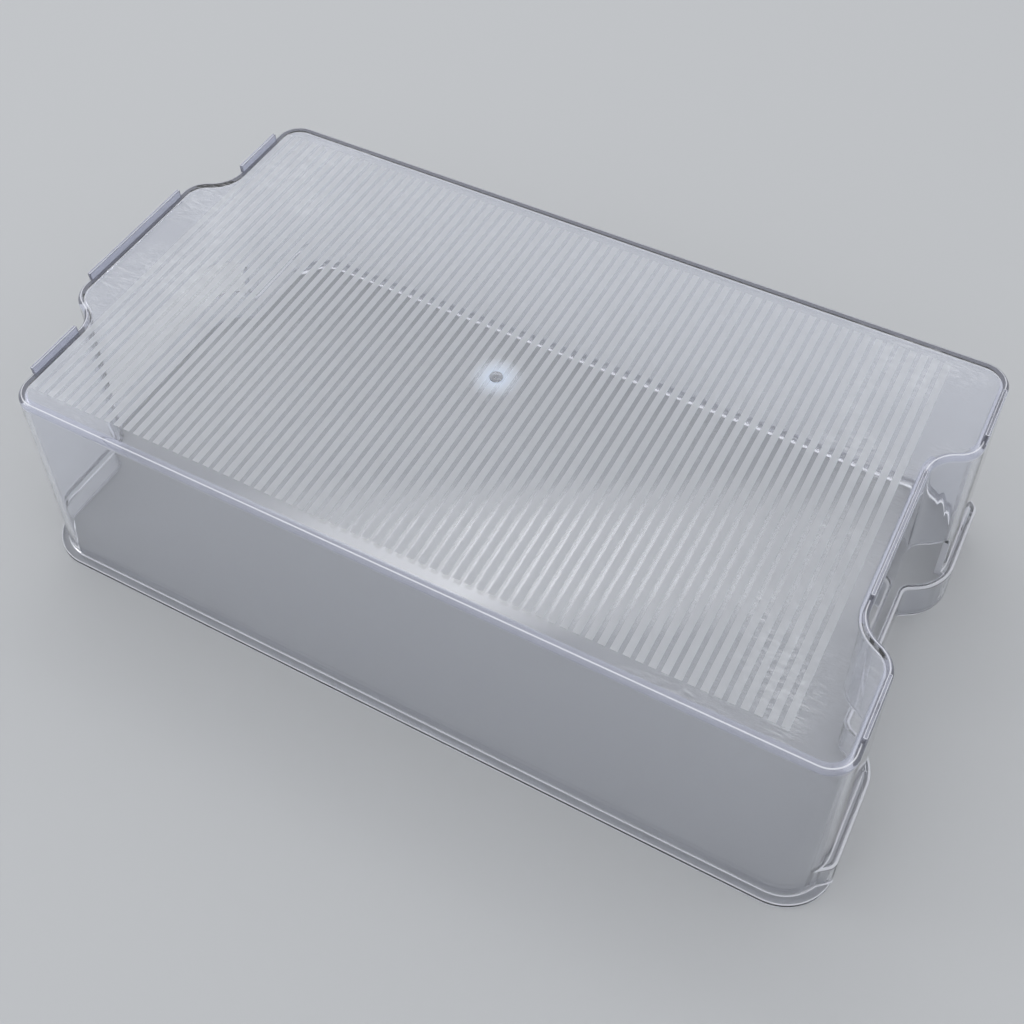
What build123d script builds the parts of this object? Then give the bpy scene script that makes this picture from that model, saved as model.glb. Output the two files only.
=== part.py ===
import os
from math import acos, degrees, radians, sin, tan

from build123d import *

# A clear moulded fridge bin, turned over: the open rim is down on the floor and the base is up.
# X runs along the bin, from the lobed end (-X) to the recessed end (+X). All lengths are millimetres.

# Plan of the base
base_length = 325.4  # between the shoulders of the two ends
base_width = 186.8
corner_radius = 10.6
lobe_depth = 14.2  # the middle of one end bulges out and that of the other is set back
lobe_width = 85.0  # between the mid-points of the two swerves beside the lobe
swerve_rim_radius = 2.25  # the tightest bend of the swerves, round the outside of the rim

# Walls and base
bin_height = 90.0  # from the rim to the base face
draft_angle = 4.1
wall = 2.2
base_thickness = 2.5
base_edge_radius = 2.2
inner_edge_chamfer = 2.0

# Rim flange along the two long sides
rim_reach = 3.3
rim_thickness = 2.5

# Grip bands across the two ends, stepped out from the wall below the finger slots
grip_height = 18.0
grip_wall = 2.2
ledge_thickness = 2.2
claw_start_angle = 13.0  # round the corner, where the band begins to taper
claw_end_angle = 36.0  # where it runs out on the wall

# Finger slots above the grip bands
slot_width = 96.0
slot_height = 23.3
slot_corner_radius = 5.0

# Stacking feet and the injection mark on the base
foot_height = 3.1
foot_thickness = 1.6
foot_inset = 0.4  # from the outer face of the end wall
foot_swerve_gap = 0.6  # from the swerve to one end of a shoulder foot
foot_corner_gap = 3.7  # from the corner to its other end
foot_middle_gap = 2.5  # from each swerve to the ends of a middle foot
foot_edge_chamfer = 0.5
gate_radius = 2.5
gate_height = 0.6
gate_edge_chamfer = 0.3

overcut = 1.0

# Places that follow from the sizes above
end_x = base_length / 2
side_y = base_width / 2
corner_x = end_x - corner_radius
corner_y = side_y - corner_radius
draft_slope = tan(radians(draft_angle))
swerve_radius = swerve_rim_radius + rim_reach + bin_height * draft_slope
swerve_angle = degrees(acos(1 - lobe_depth / (2 * swerve_radius)))
swerve_span = 2 * swerve_radius * sin(radians(swerve_angle))
lobe_flat_y = (lobe_width - swerve_span) / 2
shoulder_y = (lobe_width + swerve_span) / 2
wall_top = bin_height - base_thickness
slot_top = grip_height + slot_height
plan_center = lobe_depth / 2  # puts the middle of the whole length at X = 0
far_x = end_x + lobe_depth + bin_height


def spread(z):
    return (bin_height - z) * draft_slope


def at_height(z):
    return Plane((plan_center, 0, z))


def plan_outline(grow):
    """Outline of the base, grown outwards; the swerves keep their centres."""
    tight = swerve_radius - grow
    wide = swerve_radius + grow
    with BuildSketch() as outline:
        with BuildLine():
            recess = Line((end_x - lobe_depth + grow, 0), (end_x - lobe_depth + grow, lobe_flat_y))
            swerve_in = JernArc(recess @ 1, (0, 1), tight, -swerve_angle)
            swerve_out = JernArc(swerve_in @ 1, swerve_in % 1, wide, swerve_angle)
            right_shoulder = Line(swerve_out @ 1, (end_x + grow, corner_y))
            right_corner = JernArc(right_shoulder @ 1, (0, 1), corner_radius + grow, 90)
            side = Line(right_corner @ 1, (-corner_x, side_y + grow))
            left_corner = JernArc(side @ 1, (-1, 0), corner_radius + grow, 90)
            left_shoulder = Line(left_corner @ 1, (-end_x - grow, shoulder_y))
            lobe_in = JernArc(left_shoulder @ 1, (0, -1), tight, -swerve_angle)
            lobe_out = JernArc(lobe_in @ 1, lobe_in % 1, wide, swerve_angle)
            Line(lobe_out @ 1, (-end_x - lobe_depth - grow, 0))
            mirror(about=Plane.XZ)
        make_face()
    return outline.sketch


def drafted_form(grow, low, high):
    """Solid that widens towards the rim, with its faces parallel to the bin's outer face."""
    with BuildPart() as form:
        for z in (low, high):
            with BuildSketch(at_height(z)):
                add(plan_outline(grow + spread(z)))
        loft(ruled=True)
    return form.part


def end_zone(side, set_in=0, run_in=0):
    """Prism over one end, up to the ledge, cut off at each corner along the claw's slanting face.

    The slanting cut can be set in from that face, and can run on past the claw's tip into the bin.
    """
    wall_radius = corner_radius + spread(grip_height)
    heel = Vector(corner_x, corner_y) + Vector(wall_radius + rim_reach, 0).rotate(Axis.Z, claw_start_angle)
    tip = Vector(corner_x, corner_y) + Vector(wall_radius, 0).rotate(Axis.Z, claw_end_angle)
    slant = (tip - heel).normalized()
    shift = slant.rotate(Axis.Z, 90) * set_in
    inner = tip + shift + slant * run_in
    outer = heel + shift - slant * (rim_reach + spread(0))
    quarter = [(corner_x, corner_y), (inner.X, inner.Y), (outer.X, outer.Y), (far_x, outer.Y)]
    outline = quarter + [(x, -y) for x, y in reversed(quarter)]
    with BuildPart() as zone:
        with BuildSketch(at_height(-overcut)):
            with BuildLine():
                Polyline([(side * x, y) for x, y in outline], close=True)
            make_face()
        extrude(amount=grip_height + overcut)
    return zone.part


def slot_prism(side):
    """Finger slot through one end, with rounded upper corners, open down to the rim."""
    inside_x = plan_center + side * (corner_x - lobe_depth - corner_radius)
    with BuildPart() as slot:
        with BuildSketch(Plane((inside_x, 0, 0), x_dir=(0, side, 0), z_dir=(side, 0, 0))) as opening:
            with Locations((0, (slot_top - overcut) / 2)):
                Rectangle(slot_width, slot_top + overcut)
            fillet(opening.vertices().group_by(Axis.Y)[-1], slot_corner_radius)
        extrude(amount=far_x)
    return slot.part


outer_skin = drafted_form(0, 0, wall_top)
rim_core = drafted_form(0, -overcut, rim_thickness + overcut)
rim_plate = drafted_form(rim_reach, 0, rim_thickness)
grip_block = drafted_form(rim_reach, 0, grip_height)
grip_core = drafted_form(rim_reach - grip_wall, -overcut, grip_height - ledge_thickness)
slot_core = drafted_form(rim_reach - grip_wall, -overcut, grip_height + overcut)
ends = {"lobed": -1, "recessed": 1}
sides = {"near": -1, "far": 1}
grip_zones = {end: end_zone(side) for end, side in ends.items()}
slots = {end: slot_prism(side) for end, side in ends.items()}

# Hollow inside of the bin, bevelled where the walls meet the base
with BuildPart() as cavity:
    add(drafted_form(-wall, -overcut, wall_top))
    chamfer(cavity.edges().group_by(Axis.Z)[-1], inner_edge_chamfer)

# Ring of the four walls, before it is parted at the corners
with BuildPart() as wall_ring:
    add(outer_skin)
    add(cavity.part, mode=Mode.SUBTRACT)
    for end in ends:
        add(grip_zones[end], mode=Mode.SUBTRACT)
        add(slots[end], mode=Mode.SUBTRACT)

pieces = {}

# Base panel with its rounded edge
with BuildPart() as base_panel:
    add(drafted_form(0, wall_top, bin_height))
    fillet(base_panel.edges().group_by(Axis.Z)[-1], base_edge_radius)
pieces["base_panel"] = base_panel.part

# Long side walls between the corners
for side_name, side in sides.items():
    with BuildPart() as side_wall:
        add(wall_ring.part)
        with BuildSketch(at_height(-overcut)):
            with Locations((0, side * (corner_y + far_x / 2))):
                Rectangle(2 * corner_x, far_x)
        extrude(amount=bin_height, mode=Mode.INTERSECT)
    pieces[f"{side_name}_side_wall"] = side_wall.part

# End walls between the corners, with their finger slots
for end_name, end_side in ends.items():
    with BuildPart() as end_wall:
        add(wall_ring.part)
        with BuildSketch(at_height(-overcut)):
            with Locations((end_side * far_x / 2, 0)):
                Rectangle(far_x, 2 * corner_y)
        extrude(amount=bin_height, mode=Mode.INTERSECT)
    pieces[f"{end_name}_end_wall"] = end_wall.part

# Rounded corner walls
for end_name, end_side in ends.items():
    for side_name, side in sides.items():
        with BuildPart() as corner_wall:
            add(wall_ring.part)
            with BuildSketch(at_height(-overcut)):
                with Locations((end_side * (corner_x + far_x / 2), side * (corner_y + far_x / 2))):
                    Rectangle(far_x, far_x)
            extrude(amount=bin_height, mode=Mode.INTERSECT)
        pieces[f"{end_name}_{side_name}_corner"] = corner_wall.part

# Grip bands: a ledge under the end wall and a skirt stepped out from it, down to the rim
for end_name, end_side in ends.items():
    with BuildPart() as grip_hollow:
        add(grip_core)
        add(end_zone(end_side, set_in=grip_wall, run_in=overcut), mode=Mode.INTERSECT)
    with BuildPart() as slot_clearance:
        add(slot_core)
        add(slots[end_name], mode=Mode.INTERSECT)
    with BuildPart() as grip_band:
        add(grip_block)
        add(grip_zones[end_name], mode=Mode.INTERSECT)
        add(cavity.part, mode=Mode.SUBTRACT)
        add(grip_hollow.part, mode=Mode.SUBTRACT)
        add(slot_clearance.part, mode=Mode.SUBTRACT)
    pieces[f"{end_name}_end_grip"] = grip_band.part

# Slim rim flanges along the long sides and round the corners, up to the grip bands
for side_name, side in sides.items():
    with BuildPart() as rim_flange:
        add(rim_plate)
        add(rim_core, mode=Mode.SUBTRACT)
        for end in ends:
            add(grip_zones[end], mode=Mode.SUBTRACT)
        with BuildSketch(at_height(-overcut)):
            with Locations((0, side * far_x / 2)):
                Rectangle(2 * far_x, far_x)
        extrude(amount=bin_height, mode=Mode.INTERSECT)
    pieces[f"{side_name}_rim_flange"] = rim_flange.part

# Stacking feet: ribs along the straight stretches of both end edges, standing on the rounded base edge
foot_from_edge = foot_inset + foot_thickness / 2
shoulder_foot_low = shoulder_y + foot_swerve_gap
shoulder_foot_high = corner_y - foot_corner_gap
shoulder_foot = shoulder_foot_high - shoulder_foot_low
shoulder_foot_y = (shoulder_foot_low + shoulder_foot_high) / 2
middle_foot = 2 * (lobe_flat_y - foot_middle_gap)
foot_places = {
    "lobed_near_foot": (-end_x + foot_from_edge, -shoulder_foot_y, shoulder_foot),
    "lobed_middle_foot": (-end_x - lobe_depth + foot_from_edge, 0, middle_foot),
    "lobed_far_foot": (-end_x + foot_from_edge, shoulder_foot_y, shoulder_foot),
    "recessed_near_foot": (end_x - foot_from_edge, -shoulder_foot_y, shoulder_foot),
    "recessed_middle_foot": (end_x - lobe_depth - foot_from_edge, 0, middle_foot),
    "recessed_far_foot": (end_x - foot_from_edge, shoulder_foot_y, shoulder_foot),
}
for name, (x, y, length) in foot_places.items():
    with BuildPart() as foot:
        with BuildSketch(at_height(bin_height - base_edge_radius)):
            with Locations((x, y)):
                Rectangle(foot_thickness, length)
        extrude(amount=base_edge_radius + foot_height)
        chamfer(foot.edges().group_by(Axis.Z)[-1], foot_edge_chamfer)
        add(base_panel.part, mode=Mode.SUBTRACT)
    pieces[name] = foot.part

# Mark of the injection point in the middle of the base
with BuildPart() as gate_mark:
    with BuildSketch(Plane.XY.offset(bin_height)):
        Circle(gate_radius)
    extrude(amount=gate_height)
    chamfer(gate_mark.edges().group_by(Axis.Z)[-1], gate_edge_chamfer)
pieces["gate_mark"] = gate_mark.part

os.makedirs("parts", exist_ok=True)
for name, piece in pieces.items():
    piece.label = name
    export_step(piece, f"parts/{name}.step")
    print(f"{name}: {piece.volume / 1000:.2f} cm3, {len(piece.solids())} solid")
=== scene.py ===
from math import acos, atan, cos, pi, radians, sin, sqrt

import bmesh
import bpy
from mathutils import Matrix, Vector


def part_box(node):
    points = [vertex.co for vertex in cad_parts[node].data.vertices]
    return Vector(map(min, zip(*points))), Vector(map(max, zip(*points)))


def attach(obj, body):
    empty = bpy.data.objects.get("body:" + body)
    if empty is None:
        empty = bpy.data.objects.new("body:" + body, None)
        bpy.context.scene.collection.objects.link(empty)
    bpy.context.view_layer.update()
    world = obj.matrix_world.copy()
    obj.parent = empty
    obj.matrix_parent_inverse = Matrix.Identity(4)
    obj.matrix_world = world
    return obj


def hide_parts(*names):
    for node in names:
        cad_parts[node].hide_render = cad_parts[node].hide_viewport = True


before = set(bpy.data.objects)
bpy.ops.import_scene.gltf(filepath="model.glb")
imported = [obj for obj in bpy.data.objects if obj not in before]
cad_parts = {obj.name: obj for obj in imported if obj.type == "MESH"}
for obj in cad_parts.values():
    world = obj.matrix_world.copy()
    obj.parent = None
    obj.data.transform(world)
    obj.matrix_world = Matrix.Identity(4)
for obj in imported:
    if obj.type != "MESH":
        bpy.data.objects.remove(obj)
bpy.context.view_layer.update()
print("frame loaded:", len(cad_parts), "nodes")

# sizes that the frame gives, in metres
baseLow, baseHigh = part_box("base_panel")
wallLow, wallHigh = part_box("near_side_wall")
rimLow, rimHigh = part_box("near_rim_flange")
binHeight = baseHigh.z
wallTop = baseLow.z
slope = (baseLow.y - wallLow.y) / wallTop  # how far the walls lean out for each metre down
sideY = -baseLow.y - slope * (binHeight - wallTop)
planCenter = (wallLow.x + wallHigh.x) / 2
cornerX = (wallHigh.x - wallLow.x) / 2
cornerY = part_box("lobed_end_wall")[1].y
cornerRadius = sideY - cornerY
endX = cornerX + cornerRadius
lobeDepth = 2 * planCenter
rimReach = wallLow.y - rimLow.y
rimThickness = rimHigh.z
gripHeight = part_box("lobed_end_grip")[1].z
tiny = 1e-6  # points nearer than this are one point


def spread(z):
    return (binHeight - z) * slope


# the moulded bin: one closed clear shell, from the rim on the floor up to the base
shellShape = {
    "wall": 0.0022,
    "swerveRimRadius": 0.00225,  # the tightest bend of the swerves, round the outside of the rim
    "lobeWidth": 0.085,
    "baseEdgeRadius": 0.0022,
    "baseStrip": 0.0034,  # the strip of the base over its walls, where the plastic is seen end-on and gets painted shade
    "stripSlack": 1.2,  # how much wider than itself the strip is searched for
    "rimLine": 0.0009,  # height of the painted highlight line low on the rim
    "innerEdgeRadius": 0.0020,
    "ledge": 0.0022,
    "ledgeRadius": 0.0010,  # the ledge's outer edge is rounded
    "gripWall": 0.0022,
    "clawStart": 13,  # degrees round the corner, where the grip band begins to taper
    "clawEnd": 36,  # and where it runs out on the wall
    "clawBlend": 0.0012,  # how softly the band turns into the claw
    "slotWidth": 0.096,
    "slotHeight": 0.0233,
    "slotRadius": 0.005,
    "softEdge": 0.0004,  # the rounding of the moulded edges
    "softSteps": 2,
    "sharpest": 38,  # degrees; edges that turn by more are rounded
    "smoothBelow": 32,  # degrees; faces that turn by less are shaded as one surface
    "edgeSteps": 7,
    "ledgeSteps": 5,
    "swerveSteps": 18,
    "slotSteps": 5,
    "closest": 0.0004,  # least spacing of the columns along an end
    "besideCorner": 0.003,  # a column stands this far from each corner, so that the flat walls stay flat
    "clawTurns": (42, 2),  # degrees of a corner in fine steps, and the step
    "cornerStep": 6,
    "sideRuns": 8,
}
wall = shellShape["wall"]
swerveRadius = shellShape["swerveRimRadius"] + rimReach + spread(0)
swerve = acos(1 - lobeDepth / (2 * swerveRadius))
flatY = shellShape["lobeWidth"] / 2 - swerveRadius * sin(swerve)
shoulderY = shellShape["lobeWidth"] / 2 + swerveRadius * sin(swerve)
slotHalf = shellShape["slotWidth"] / 2
slotSpring = gripHeight + shellShape["slotHeight"] - shellShape["slotRadius"]
pocketReach = rimReach - shellShape["gripWall"]
pocketTop = gripHeight - shellShape["ledge"]


def endOffset(y, grow, bulge):
    # how far the outline of an end stands out at this y; bulge is 1 on the lobe and -1 on the recess
    y = abs(y)
    first = swerveRadius + bulge * grow
    second = swerveRadius - bulge * grow
    if y <= flatY:
        return bulge * lobeDepth + grow
    if y <= flatY + first * sin(swerve):
        return bulge * (lobeDepth - swerveRadius + sqrt(first ** 2 - (y - flatY) ** 2))
    if y <= shoulderY:
        return bulge * (swerveRadius - sqrt(second ** 2 - (shoulderY - y) ** 2))
    return grow


def clawReach(angle, z, setIn=0):
    # how far the claw's slanting face, or a line set in from it, lies outside the wall round a corner
    wallRadius = cornerRadius + spread(gripHeight)
    startAngle, endAngle = radians(shellShape["clawStart"]), radians(shellShape["clawEnd"])
    if angle > endAngle:
        return -wall
    heel = (wallRadius + rimReach) * Vector((cos(startAngle), sin(startAngle)))
    tip = wallRadius * Vector((cos(endAngle), sin(endAngle)))
    along = (tip - heel).normalized()
    heel += setIn * Vector((-along.y, along.x))
    radius = heel.cross(along) / Vector((cos(angle), sin(angle))).cross(along)
    return radius - cornerRadius - spread(z)


def softMin(a, b, width):
    # the lesser of two lengths, rounded where they cross
    blend = max(width - abs(a - b), 0)
    return min(a, b) - blend ** 2 / (4 * width)


def endColumn(side, y):
    slotTop = slotSpring
    inset = slotHalf - abs(y)
    if inset >= 0:
        corner = max(shellShape["slotRadius"] - inset, 0)
        slotTop = slotSpring + sqrt(shellShape["slotRadius"] ** 2 - corner ** 2)
    return {
        "spot": lambda grow: (planCenter + side * (endX + endOffset(y, grow, -side)), y),
        "band": lambda z: rimReach,
        "pocket": lambda z: pocketReach,
        "slotTop": slotTop,
    }


def cornerColumn(side, back, degrees):
    angle = radians(degrees)
    return {
        "spot": lambda grow: (
            planCenter + side * (cornerX + (cornerRadius + grow) * cos(angle)),
            back * (cornerY + (cornerRadius + grow) * sin(angle)),
        ),
        "band": lambda z: max(softMin(clawReach(angle, z), rimReach, shellShape["clawBlend"]), 0),
        "pocket": lambda z: max(min(clawReach(angle, z, shellShape["gripWall"]), pocketReach), -wall),
        "slotTop": slotSpring,
    }


def sideColumn(back, x):
    return {
        "spot": lambda grow: (planCenter + x, back * (sideY + grow)),
        "band": lambda z: 0,
        "pocket": lambda z: -wall,
        "slotTop": slotSpring,
    }


def halfEnd():
    # the y places from the middle of an end to its corner
    steps = shellShape["swerveSteps"]
    closest = shellShape["closest"]
    ys = [0, flatY / 2]
    ys += [flatY + swerveRadius * sin(swerve * i / steps) for i in range(steps)]
    slotStart = slotHalf - shellShape["slotRadius"]
    ys = [y for y in ys if y < slotStart - closest]
    bends = shellShape["slotSteps"]
    ys += [slotStart + shellShape["slotRadius"] * sin(pi / 2 * i / bends) for i in range(bends + 1)]
    late = [shoulderY - swerveRadius * sin(swerve * (1 - i / steps)) for i in range(steps + 1)]
    ys += [y for y in late if y > slotHalf + closest]
    ys += [(shoulderY + cornerY) / 2, cornerY - shellShape["besideCorner"]]
    return ys


def ringColumns():
    # once round the bin, from the middle of the recessed end
    ends = halfEnd()
    fine, step = shellShape["clawTurns"]
    turns = list(range(0, fine, step)) + list(range(fine, 91, shellShape["cornerStep"]))
    reach = cornerX - shellShape["besideCorner"]
    runs = [reach * (1 - 2 * i / shellShape["sideRuns"]) for i in range(shellShape["sideRuns"] + 1)]
    columns = [endColumn(1, y) for y in ends]
    columns += [cornerColumn(1, 1, turn) for turn in turns]
    columns += [sideColumn(1, x) for x in runs]
    columns += [cornerColumn(-1, 1, turn) for turn in reversed(turns)]
    columns += [endColumn(-1, y) for y in reversed(ends)]
    columns += [endColumn(-1, -y) for y in ends[1:]]
    columns += [cornerColumn(-1, -1, turn) for turn in turns]
    columns += [sideColumn(-1, -x) for x in runs]
    columns += [cornerColumn(1, -1, turn) for turn in reversed(turns)]
    columns += [endColumn(1, -y) for y in reversed(ends[1:])]
    return columns


def edgeArc(radius, inset, top):
    # rings round the edge where a wall turns into the base
    lean = atan(slope)
    center = top - radius
    middle = spread(center) - inset - radius / cos(lean)
    rings = []
    for i in range(shellShape["edgeSteps"] + 1):
        turn = lean + (pi / 2 - lean) * i / shellShape["edgeSteps"]
        z = center + radius * sin(turn)
        grow = middle + radius * cos(turn) - spread(z)
        rings.append(lambda column, grow=grow, z=z: (grow, z))
    return rings


def ledgeRing(step):
    # a ring on the rounded outer edge of the ledge
    turn = pi / 2 * step / shellShape["ledgeSteps"]

    def place(column):
        band = column["band"](gripHeight)
        radius = min(shellShape["ledgeRadius"], band)
        return band - radius * (1 - cos(turn)), gripHeight - radius * (1 - sin(turn))

    return place


def ledgeSplit(column):
    # over the outer face of the pocket, where a finger slot cuts through the ledge
    return min(max(column["band"](gripHeight) - shellShape["ledgeRadius"], 0), pocketReach), gripHeight


outerRings = {
    "rimFoot": lambda c: (rimReach, 0),
    "rimLine": lambda c: (rimReach, shellShape["rimLine"]),
    "rimTop": lambda c: (rimReach, rimThickness),
    "bandFoot": lambda c: (c["band"](rimThickness), rimThickness),
}
for i in range(shellShape["ledgeSteps"] + 1):
    outerRings[f"ledgeEdge{i}"] = ledgeRing(i)
outerRings["ledgeSplit"] = ledgeSplit
outerRings["wallFoot"] = lambda c: (0, gripHeight)
outerRings["slotTop"] = lambda c: (0, c["slotTop"])
innerRings = {
    "innerFoot": lambda c: (c["pocket"](0), 0),
    "pocketTop": lambda c: (c["pocket"](pocketTop), pocketTop),
    "ledgeUnder": lambda c: (-wall, pocketTop),
    "innerWallFoot": lambda c: (-wall, gripHeight),
    "innerSlotTop": lambda c: (-wall, c["slotTop"]),
}
for i, ring in enumerate(edgeArc(shellShape["baseEdgeRadius"], 0, binHeight)):
    outerRings[f"baseEdge{i}"] = ring
outerRings["baseStrip"] = lambda c: (-shellShape["baseStrip"], binHeight)
for i, ring in enumerate(edgeArc(shellShape["innerEdgeRadius"], wall, wallTop)):
    innerRings[f"innerEdge{i}"] = ring
ringNumbers = {name: i for i, name in enumerate([*outerRings, *innerRings])}


def editMesh(piece):
    return bmesh.from_edit_mesh(piece.data)


def layRing(piece, columns, name, ring):
    # sets the selected points, one for each column, on a ring round the bin
    mesh = editMesh(piece)
    columnOf = mesh.verts.layers.int["column"]
    ringOf = mesh.verts.layers.int["ring"]
    for point in mesh.verts:
        if point.select:
            column = columns[point[columnOf]]
            grow, z = ring(column)
            point[ringOf] = ringNumbers[name]
            point.co = (*column["spot"](grow + spread(z)), z)
    bmesh.update_edit_mesh(piece.data)


def pickBetween(piece, kind, ringSets, where=lambda point: True):
    # selects the edges or faces whose points lie on exactly one of the sets of rings
    bpy.ops.mesh.select_mode(type=kind)
    bpy.ops.mesh.select_all(action="DESELECT")
    mesh = editMesh(piece)
    ringOf = mesh.verts.layers.int["ring"]
    wanted = [{ringNumbers[name] for name in names} for names in ringSets]
    for part in mesh.edges if kind == "EDGE" else mesh.faces:
        if {point[ringOf] for point in part.verts} in wanted and all(map(where, part.verts)):
            part.select = True
    bmesh.update_edit_mesh(piece.data)


def cutSlot(piece, side):
    # opens one finger slot: its faces go, and its edges are bridged through the wall
    def inSlot(point):
        return abs(point.co.y) <= slotHalf + tiny and point.co.x * side > 0

    spans = [("ledgeSplit", "wallFoot"), ("wallFoot", "slotTop"), ("pocketTop", "ledgeUnder"),
             ("ledgeUnder", "innerWallFoot"), ("innerWallFoot", "innerSlotTop")]
    pickBetween(piece, "FACE", spans, inSlot)
    bpy.ops.mesh.delete(type="FACE")
    for outer, inner in (("ledgeSplit", "pocketTop"), ("slotTop", "innerSlotTop")):
        pickBetween(piece, "EDGE", [[outer], [inner]], inSlot)
        bpy.ops.mesh.bridge_edge_loops()


def closeHoles():
    bpy.ops.mesh.select_all(action="SELECT")
    bpy.ops.mesh.fill_holes(sides=0)
    bpy.ops.mesh.select_all(action="SELECT")


def makeShell():
    columns = ringColumns()
    bpy.ops.object.select_all(action="DESELECT")
    bpy.ops.mesh.primitive_circle_add(vertices=len(columns), radius=sideY)
    shell = bpy.context.object
    shell.name = "clear_bin"
    bpy.ops.object.mode_set(mode="EDIT")
    bpy.ops.mesh.select_mode(type="VERT")
    mesh = editMesh(shell)
    mesh.verts.layers.int.new("column")
    mesh.verts.layers.int.new("ring")
    mesh.verts.ensure_lookup_table()
    columnOf = mesh.verts.layers.int["column"]
    for i, point in enumerate(mesh.verts):
        point[columnOf] = i
    bmesh.update_edit_mesh(shell.data)
    for rings in (outerRings, innerRings):
        if rings is innerRings:
            pickBetween(shell, "EDGE", [["rimFoot"]])
        for name, ring in rings.items():
            if name != "rimFoot":
                bpy.ops.mesh.extrude_region()
            layRing(shell, columns, name, ring)
        bpy.ops.mesh.edge_face_add()
    for side in (-1, 1):
        cutSlot(shell, side)
    closeHoles()
    bpy.ops.mesh.remove_doubles(threshold=tiny)
    bpy.ops.mesh.normals_make_consistent(inside=False)
    bpy.ops.object.mode_set(mode="OBJECT")
    return shell


def applyModifier(piece, kind, **settings):
    bpy.ops.object.select_all(action="DESELECT")
    bpy.context.view_layer.objects.active = piece
    piece.select_set(True)
    modifier = piece.modifiers.new(kind.lower(), kind)
    for name, value in settings.items():
        setattr(modifier, name, value)
    bpy.ops.object.modifier_apply(modifier=modifier.name)


def markSoftEdges(piece):
    # weights the sharp edges that get rounded, apart from those with too little room beside them
    bpy.ops.object.mode_set(mode="EDIT")
    mesh = editMesh(piece)
    weight = mesh.edges.layers.float.new("bevel_weight_edge")
    ringOf = mesh.verts.layers.int["ring"]
    pocketRings = {ringNumbers["pocketTop"], ringNumbers["ledgeUnder"]}
    pocketEnd = cornerY - 2 * shellShape["besideCorner"]
    for edge in mesh.edges:
        sharp = edge.calc_face_angle(0) > radians(shellShape["sharpest"])
        inPocket = all(point[ringOf] in pocketRings and abs(point.co.y) > pocketEnd for point in edge.verts)
        onJamb = all(abs(abs(point.co.y) - slotHalf) < tiny for point in edge.verts)
        if sharp and not inPocket and not onJamb:
            edge[weight] = 1
    bmesh.update_edit_mesh(piece.data)
    bpy.ops.object.mode_set(mode="OBJECT")


shell = makeShell()
# the edge slot carries painted shade where the plastic is seen end-on
finishSlots = {"clear": 0, "frosted": 1, "scuffed": 2, "edge": 3, "paintedHighlight": 4}
for name in finishSlots:
    shell.data.materials.append(None)
markSoftEdges(shell)
# the rounded faces that the bevel adds get the painted highlight finish
applyModifier(shell, "BEVEL", width=shellShape["softEdge"], segments=shellShape["softSteps"],
              limit_method="WEIGHT", use_clamp_overlap=False, material=finishSlots["paintedHighlight"])
print("shell:", len(shell.data.vertices), "points,", len(shell.data.polygons), "faces")

# stacking feet: ribs that stand on the base's edge, sunk into it so that they join it
footShape = {"sink": 0.0017, "softEdge": 0.0004, "softSteps": 3}


def makeFoot(node):
    low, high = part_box(node)
    low.z = binHeight - footShape["sink"]
    bpy.ops.object.select_all(action="DESELECT")
    bpy.ops.mesh.primitive_cube_add(size=1, location=(low + high) / 2, scale=high - low)
    foot = bpy.context.object
    bpy.ops.object.transform_apply(location=True, rotation=True, scale=True)
    applyModifier(foot, "BEVEL", width=footShape["softEdge"], segments=footShape["softSteps"])
    return foot


# injection mark: a shallow ring with a dished middle and the stub of the feed
gateShape = {
    "sink": 0.0015,  # how deep it reaches into the base, so that it joins it
    "lip": 0.0005,
    "dish": 0.0004,
    "stub": 0.0003,
    "stubRadius": 0.0007,
    "softEdge": 0.00012,
    "softSteps": 2,
    "sharpest": 25,
    "sides": 40,
}


def makeGate():
    low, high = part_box("gate_mark")
    radius = (high.x - low.x) / 2
    bottom = low.z - gateShape["sink"]
    bpy.ops.object.select_all(action="DESELECT")
    bpy.ops.mesh.primitive_cylinder_add(vertices=gateShape["sides"], radius=radius, depth=high.z - bottom,
                                        location=(0, 0, (high.z + bottom) / 2))
    gate = bpy.context.object
    bpy.ops.object.transform_apply(location=True, rotation=True, scale=True)
    bpy.ops.object.mode_set(mode="EDIT")
    bpy.ops.mesh.select_mode(type="FACE")
    bpy.ops.mesh.select_all(action="DESELECT")
    mesh = editMesh(gate)
    max(mesh.faces, key=lambda face: face.calc_center_median().z).select = True
    bmesh.update_edit_mesh(gate.data)
    bpy.ops.mesh.inset(thickness=gateShape["lip"], depth=0)
    bpy.ops.mesh.inset(thickness=gateShape["lip"], depth=-gateShape["dish"])
    bpy.ops.mesh.inset(thickness=radius - 2 * gateShape["lip"] - gateShape["stubRadius"], depth=0)
    bpy.ops.mesh.extrude_region_move(TRANSFORM_OT_translate={"value": (0, 0, gateShape["stub"])})
    bpy.ops.object.mode_set(mode="OBJECT")
    applyModifier(gate, "BEVEL", width=gateShape["softEdge"], segments=gateShape["softSteps"],
                  limit_method="ANGLE", angle_limit=radians(gateShape["sharpest"]))
    return gate


footNodes = [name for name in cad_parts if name.endswith("_foot")]
for extra in [makeFoot(node) for node in footNodes] + [makeGate()]:
    applyModifier(shell, "BOOLEAN", object=extra, operation="UNION", solver="EXACT")
    bpy.data.objects.remove(extra)
bpy.ops.object.mode_set(mode="EDIT")
closeHoles()
bpy.ops.mesh.normals_make_consistent(inside=False)
bpy.ops.object.mode_set(mode="OBJECT")
print("feet and injection mark joined:", len(shell.data.polygons), "faces")

# frosted stripes: faces cut out of the base's top, across the bin
stripeField = {
    "first": -0.15247,  # x of the middle of the first clear gap
    "pitch": 0.004426,
    "count": 68,
    "gap": 0.0017,
    "halfLength": 0.085,
    "flatness": 1e-5,  # faces of the base lie this near its height
}
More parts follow.
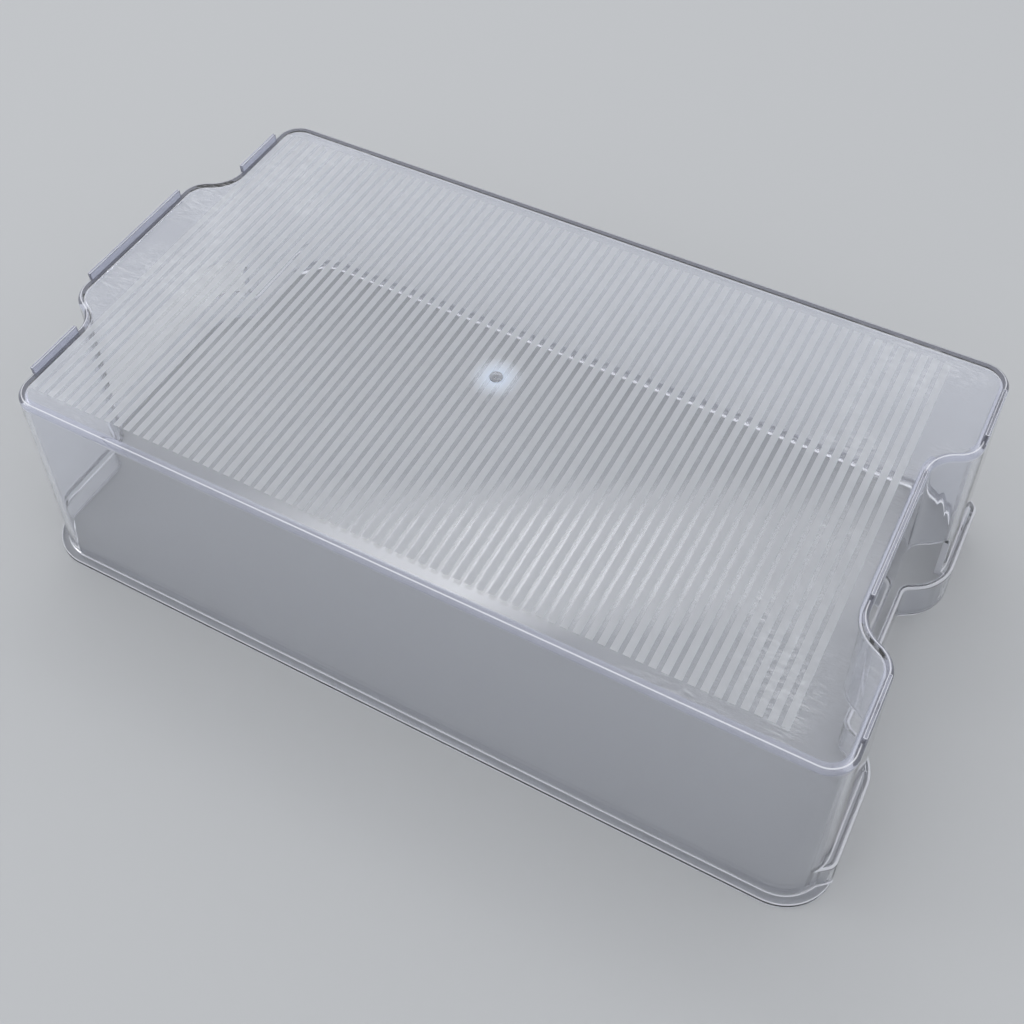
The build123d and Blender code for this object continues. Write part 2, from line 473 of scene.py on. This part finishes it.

# parts of the edges painted white as highlights, told by how far up their faces look
paintedHighlightSlants = {
    "flat": 0.99,  # faces that look up or aside by more than this are flat, not rounded
    "baseSlant": 0.87,
    "ledgeSlant": 0.3,
    "ledgeDepth": 0.0007,
    "slotSlant": -0.5,  # the top of a slot looks down by more than this
}


def onBase(face):
    # True for the flat faces of the base's top
    level = all(abs(point.co.z - binHeight) < stripeField["flatness"] for point in face.verts)
    return level and face.normal.z > paintedHighlightSlants["flat"]


def cutBase(place, normal):
    bpy.ops.mesh.select_mode(type="FACE")
    bpy.ops.mesh.select_all(action="DESELECT")
    mesh = editMesh(shell)
    for face in filter(onBase, mesh.faces):
        face.select = True
    bmesh.update_edit_mesh(shell.data)
    bpy.ops.mesh.bisect(plane_co=place, plane_no=normal)


def inStripe(face):
    middle = face.calc_center_bounds()
    along = (middle.x - stripeField["first"]) / stripeField["pitch"]
    share = along % 1 * stripeField["pitch"]
    inField = 0 <= along <= stripeField["count"] and abs(middle.y) < stripeField["halfLength"]
    return inField and stripeField["gap"] / 2 < share < stripeField["pitch"] - stripeField["gap"] / 2


def cutStripes():
    for side in (-1, 1):
        cutBase((0, side * stripeField["halfLength"], binHeight), (0, 1, 0))
    for i in range(stripeField["count"]):
        gapMiddle = stripeField["first"] + i * stripeField["pitch"]
        cutBase((gapMiddle + stripeField["gap"] / 2, 0, binHeight), (1, 0, 0))
        cutBase((gapMiddle + stripeField["pitch"] - stripeField["gap"] / 2, 0, binHeight), (1, 0, 0))


def overWalls(face):
    # True high on the bin, away from the injection mark
    middle = face.calc_center_median()
    high = middle.z > binHeight - shellShape["baseEdgeRadius"]
    return high and abs(middle.x) + abs(middle.y) > cornerRadius


def onShadedEdge(face):
    # True on the base's rounded edge with the strip beside it, and on the feet: where the plastic is seen
    # end-on and gets painted shade
    return overWalls(face) and (not onBase(face) or all(beside(point.co) for point in face.verts))


def onPaintedHighlight(face):
    # True where an edge gets a painted highlight, where it would catch the light: on the base's edge and the
    # ledges, low on the rim and in the slots
    middle = face.calc_center_median()
    slant = face.normal.z
    baseTop = overWalls(face) and paintedHighlightSlants["baseSlant"] < slant < paintedHighlightSlants["flat"]
    onLedge = -paintedHighlightSlants["ledgeDepth"] < middle.z - gripHeight < tiny
    ledgeTop = onLedge and paintedHighlightSlants["ledgeSlant"] < slant < paintedHighlightSlants["flat"]
    rimFoot = middle.z < shellShape["rimLine"] and abs(slant) < paintedHighlightSlants["ledgeSlant"]
    slotTop = slotSpring + 2 * shellShape["slotRadius"]
    inSlot = abs(middle.y) <= slotHalf + tiny and gripHeight < middle.z < slotTop
    cut = inSlot and (abs(face.normal.y) > paintedHighlightSlants["flat"] or slant < paintedHighlightSlants["slotSlant"])
    return baseTop or ledgeTop or rimFoot or cut


def beside(place):
    # True on the strip of the base that lies over its walls
    toSide = sideY - abs(place.y)
    bulge = 1 if place.x < planCenter else -1
    toEnd = endX + endOffset(place.y, 0, bulge) - abs(place.x - planCenter)
    corner = Vector((abs(place.x - planCenter) - cornerX, abs(place.y) - cornerY))
    toCorner = cornerRadius - corner.length if min(corner) > 0 else cornerRadius
    return min(toSide, toEnd, toCorner) < shellShape["baseStrip"] * shellShape["stripSlack"]


def paintFaces(finish, where):
    bpy.ops.mesh.select_mode(type="FACE")
    bpy.ops.mesh.select_all(action="DESELECT")
    mesh = editMesh(shell)
    for face in filter(where, mesh.faces):
        face.select = True
    bmesh.update_edit_mesh(shell.data)
    shell.active_material_index = finishSlots[finish]
    bpy.ops.object.material_slot_assign()


# finishes: all are the same clear plastic, polished or frosted, or with painted violet shade where it is seen
# along its edges, or with painted white highlights on its soft edges
plasticFinish = {
    "ior": 1.55,
    "grainSpan": (0.3, 0.7),  # the noise values that are spread over a finish's roughness
    "clearTint": (0.95, 0.96, 1.0, 1),
    "clearRough": (0.02, 0.06),
    "clearGrain": 9,
    "clearClear": 0.985,  # share of the light that the plastic lets through
    "frostTint": (0.93, 0.95, 0.98, 1),
    "frostRough": (0.34, 0.6),
    "frostGrain": 2600,
    "frostClear": 0.82,
    # edge: the plastic's faint blue tint, made darker and less clear as painted shade where the plastic is
    # seen end-on
    "edgeTint": (0.72, 0.74, 0.88, 1),
    "edgeRough": (0.05, 0.16),
    "edgeGrain": 140,
    "edgeClear": 0.78,
    "paintedHighlightTint": (0.93, 0.94, 1.0, 1),  # painted highlight: the soft edges are painted whiter and less clear, where they would catch the light
    "paintedHighlightRough": (0.1, 0.25),
    "paintedHighlightClear": 0.35,
}

# wear of the base: rubbed scratches towards both ends, and a bluish bloom round the injection mark
baseWear = {
    "scratchWhite": 0.2,  # share of the light that the worst scratches hold back
    "scratchRough": 0.4,
    "scratchGrain": 240,
    "scratchDetail": 5,
    "scratchStretch": (1, 5, 1),
    "scratchTurns": (-24, 33),
    "scratchSpan": (0.52, 0.64),
    "patchGrain": 26,
    "patchSpan": (0.45, 0.62),
    "endSpan": (0.06, 0.13),  # scratches grow from the first to the second distance from the middle
    "bloomWhite": 0.7,
    "bloomSpan": (0.002, 0.0105),  # the bloom fades between these distances from the mark
    "bloomTint": (0.66, 0.79, 1.0, 1),
}


def newMaterial(name):
    material = bpy.data.materials.new(name)
    material.use_nodes = True
    return material, material.node_tree.nodes, material.node_tree.links


def addNode(nodes, kind, **settings):
    node = nodes.new(kind)
    for name, value in settings.items():
        setattr(node, name, value)
    return node


def noiseOn(nodes, links, scale, detail=2, stretch=(1, 1, 1), turn=0):
    # noise on the bin's own coordinates, stretched and turned in plan
    place = addNode(nodes, "ShaderNodeTexCoord")
    mapping = addNode(nodes, "ShaderNodeMapping")
    mapping.inputs["Scale"].default_value = stretch
    mapping.inputs["Rotation"].default_value = (0, 0, radians(turn))
    noise = addNode(nodes, "ShaderNodeTexNoise")
    noise.inputs["Scale"].default_value = scale
    noise.inputs["Detail"].default_value = detail
    links.new(place.outputs["Object"], mapping.inputs["Vector"])
    links.new(mapping.outputs["Vector"], noise.inputs["Vector"])
    return noise.outputs["Fac"]


def ranged(nodes, links, source, fromLow, fromHigh, toLow, toHigh):
    span = addNode(nodes, "ShaderNodeMapRange")
    for name, value in (("From Min", fromLow), ("From Max", fromHigh), ("To Min", toLow), ("To Max", toHigh)):
        span.inputs[name].default_value = value
    links.new(source, span.inputs["Value"])
    return span.outputs["Result"]


def combined(nodes, links, operation, first, second):
    math = addNode(nodes, "ShaderNodeMath", operation=operation)
    links.new(first, math.inputs[0])
    links.new(second, math.inputs[1])
    return math.outputs["Value"]


def wearBase(nodes, links, shader, tint):
    # tints the bloom, and gives how much of the base's clearness is lost to it and to the scratches
    place = addNode(nodes, "ShaderNodeTexCoord")
    split = addNode(nodes, "ShaderNodeSeparateXYZ")
    links.new(place.outputs["Object"], split.inputs["Vector"])
    fromMiddle = addNode(nodes, "ShaderNodeMath", operation="ABSOLUTE")
    links.new(split.outputs["X"], fromMiddle.inputs[0])
    ends = ranged(nodes, links, fromMiddle.outputs["Value"], *baseWear["endSpan"], 0, 1)
    scratches = [noiseOn(nodes, links, baseWear["scratchGrain"], baseWear["scratchDetail"],
                         baseWear["scratchStretch"], turn) for turn in baseWear["scratchTurns"]]
    fine = ranged(nodes, links, combined(nodes, links, "MAXIMUM", *scratches), *baseWear["scratchSpan"], 0, 1)
    patches = ranged(nodes, links, noiseOn(nodes, links, baseWear["patchGrain"]), *baseWear["patchSpan"],
                     0, baseWear["scratchWhite"])
    scuffs = combined(nodes, links, "MULTIPLY", combined(nodes, links, "MULTIPLY", fine, patches), ends)
    flat = addNode(nodes, "ShaderNodeCombineXYZ")
    links.new(split.outputs["X"], flat.inputs["X"])
    links.new(split.outputs["Y"], flat.inputs["Y"])
    far = addNode(nodes, "ShaderNodeVectorMath", operation="LENGTH")
    links.new(flat.outputs["Vector"], far.inputs[0])
    bloom = ranged(nodes, links, far.outputs["Value"], *baseWear["bloomSpan"], baseWear["bloomWhite"], 0)
    tints = addNode(nodes, "ShaderNodeValToRGB")
    tints.color_ramp.elements[0].color = tint
    tints.color_ramp.elements[1].color = baseWear["bloomTint"]
    links.new(bloom, tints.inputs["Fac"])
    links.new(tints.outputs["Color"], shader.inputs["Base Color"])
    return combined(nodes, links, "MAXIMUM", scuffs, bloom)


def grainRough(nodes, links, shader, grain, low, high):
    # roughness that wanders between two values with the grain of the surface
    rough = ranged(nodes, links, noiseOn(nodes, links, grain), *plasticFinish["grainSpan"], low, high)
    links.new(rough, shader.inputs["Roughness"])


def makeClearPlastic():
    material, nodes, links = newMaterial("clear_plastic")
    shader = nodes["Principled BSDF"]
    shader.inputs["Base Color"].default_value = plasticFinish["clearTint"]
    shader.inputs["IOR"].default_value = plasticFinish["ior"]
    shader.inputs["Transmission Weight"].default_value = plasticFinish["clearClear"]
    grainRough(nodes, links, shader, plasticFinish["clearGrain"], *plasticFinish["clearRough"])
    return material


def makeBasePlastic():
    material, nodes, links = newMaterial("scuffed_clear_plastic")
    shader = nodes["Principled BSDF"]
    shader.inputs["IOR"].default_value = plasticFinish["ior"]
    white = wearBase(nodes, links, shader, plasticFinish["clearTint"])
    clearness = ranged(nodes, links, white, 0, 1, plasticFinish["clearClear"], 0)
    rough = ranged(nodes, links, white, 0, 1, plasticFinish["clearRough"][0], baseWear["scratchRough"])
    links.new(clearness, shader.inputs["Transmission Weight"])
    links.new(rough, shader.inputs["Roughness"])
    return material


def makeFrostedPlastic():
    material, nodes, links = newMaterial("frosted_plastic")
    shader = nodes["Principled BSDF"]
    shader.inputs["IOR"].default_value = plasticFinish["ior"]
    white = wearBase(nodes, links, shader, plasticFinish["frostTint"])
    clearness = ranged(nodes, links, white, 0, 1, plasticFinish["frostClear"], 0)
    links.new(clearness, shader.inputs["Transmission Weight"])
    grainRough(nodes, links, shader, plasticFinish["frostGrain"], *plasticFinish["frostRough"])
    return material


def makeEdgePlastic(name, kind):
    material, nodes, links = newMaterial(name)
    shader = nodes["Principled BSDF"]
    shader.inputs["Base Color"].default_value = plasticFinish[f"{kind}Tint"]
    shader.inputs["IOR"].default_value = plasticFinish["ior"]
    shader.inputs["Transmission Weight"].default_value = plasticFinish[f"{kind}Clear"]
    grainRough(nodes, links, shader, plasticFinish["edgeGrain"], *plasticFinish[f"{kind}Rough"])
    return material


finishes = {
    "clear": makeClearPlastic(),
    "frosted": makeFrostedPlastic(),
    "scuffed": makeBasePlastic(),
    # the edge finish: a darker violet copy of the plastic, painted shade where it is seen end-on
    "edge": makeEdgePlastic("shaded_edge_plastic", "edge"),
    # the painted highlight finish: a whiter, less clear copy of the plastic
    "paintedHighlight": makeEdgePlastic("painted_highlight_plastic", "paintedHighlight"),
}
for name, material in finishes.items():
    shell.data.materials[finishSlots[name]] = material
bpy.ops.object.mode_set(mode="EDIT")
cutStripes()
paintFaces("scuffed", onBase)
paintFaces("frosted", lambda face: onBase(face) and inStripe(face))
# painted shade: the violet edge finish on the base's rounded edge, the strip over the walls and the feet
paintFaces("edge", onShadedEdge)
# painted highlights on the soft edges, the ledges, the rim's foot and the slots' cut faces
paintFaces("paintedHighlight", onPaintedHighlight)
bpy.ops.object.mode_set(mode="OBJECT")
frostedFaces = [face for face in shell.data.polygons if face.material_index == finishSlots["frosted"]]
print("stripes cut:", len(frostedFaces), "frosted faces")
bpy.ops.object.shade_smooth_by_angle(angle=radians(shellShape["smoothBelow"]))
applyModifier(shell, "WEIGHTED_NORMAL", keep_sharp=True)
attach(shell, "root")
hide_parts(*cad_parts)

# plain pale floor
floorShape = {"size": 8, "drop": 0.00005, "tone": (0.52, 0.53, 0.54, 1), "rough": 0.8}
bpy.ops.object.select_all(action="DESELECT")
bpy.ops.mesh.primitive_plane_add(size=floorShape["size"], location=(0, 0, -floorShape["drop"]))
floor = bpy.context.object
floor.name = "floor"
floorMaterial, floorNodes = newMaterial("pale_floor")[:2]
floorNodes["Principled BSDF"].inputs["Base Color"].default_value = floorShape["tone"]
floorNodes["Principled BSDF"].inputs["Roughness"].default_value = floorShape["rough"]
floor.data.materials.append(floorMaterial)

# soft studio light: a room that is paler overhead, a soft box mirrored in the base and one at the side
roomLight = {"level": (0.44, 0.45, 0.47, 1), "overhead": (0.97, 0.98, 1.0, 1), "strength": 1.12}
softBoxes = {
    "over_box": {
        "place": (-0.256, 0.473, 0.996),
        "aim": (0.05, -0.08, 0.09),
        "size": (1.0, 0.2),
        "power": 2.4,
        "fade": (0.45, 0.3),  # the box fades out towards its edges, over these shares of its size
    },
    "side_box": {
        "place": (-1.3, -0.5, 0.9),
        "aim": (0, 0, 0.05),
        "size": (0.9, 0.9),
        "power": 8,
        "fade": (0.5, 0.5),
    },
}


def fromEdge(nodes, links, across):
    # distance from the nearer edge of a soft box, as a share of its size
    other = addNode(nodes, "ShaderNodeMath", operation="SUBTRACT")
    other.inputs[0].default_value = 1
    links.new(across, other.inputs[1])
    return combined(nodes, links, "MINIMUM", across, other.outputs["Value"])


world = bpy.data.worlds.new("room")
world.use_nodes = True
worldNodes, worldLinks = world.node_tree.nodes, world.node_tree.links
direction = addNode(worldNodes, "ShaderNodeTexCoord")
upward = addNode(worldNodes, "ShaderNodeSeparateXYZ")
shade = addNode(worldNodes, "ShaderNodeValToRGB")
shade.color_ramp.elements[0].color = roomLight["level"]
shade.color_ramp.elements[1].color = roomLight["overhead"]
worldLinks.new(direction.outputs["Generated"], upward.inputs["Vector"])
worldLinks.new(upward.outputs["Z"], shade.inputs["Fac"])
worldLinks.new(shade.outputs["Color"], worldNodes["Background"].inputs["Color"])
worldNodes["Background"].inputs["Strength"].default_value = roomLight["strength"]
bpy.context.scene.world = world
for name, box in softBoxes.items():
    bpy.ops.object.light_add(type="AREA", location=box["place"])
    lamp = bpy.context.object
    lamp.name = name
    lamp.rotation_euler = (Vector(box["aim"]) - Vector(box["place"])).to_track_quat("-Z", "Y").to_euler()
    lamp.data.shape = "RECTANGLE"
    lamp.data.size, lamp.data.size_y = box["size"]
    lamp.data.energy = box["power"]
    lamp.data.use_nodes = True
    lampNodes, lampLinks = lamp.data.node_tree.nodes, lamp.data.node_tree.links
    across = addNode(lampNodes, "ShaderNodeNewGeometry")
    sheet = addNode(lampNodes, "ShaderNodeSeparateXYZ")
    lampLinks.new(across.outputs["Parametric"], sheet.inputs["Vector"])
    glow = [ranged(lampNodes, lampLinks, fromEdge(lampNodes, lampLinks, sheet.outputs[way]), 0, fade, 0, 1)
            for way, fade in zip("XY", box["fade"])]
    lampLinks.new(combined(lampNodes, lampLinks, "MULTIPLY", *glow), lampNodes["Emission"].inputs["Strength"])
print("floor and light ready")

# camera as the photograph's: the lens is given for a sensor 36 mm wide
cameraView = {
    "lens": 43.557,
    "place": (0.15648, -0.27272, 0.43127),
    "turn": (36.437, 0.496, 28.236),
}
bpy.ops.object.camera_add(location=cameraView["place"], rotation=[radians(t) for t in cameraView["turn"]])
camera = bpy.context.object
camera.data.lens = cameraView["lens"]
bpy.context.scene.camera = camera
bpy.context.scene.view_settings.view_transform = "Standard"
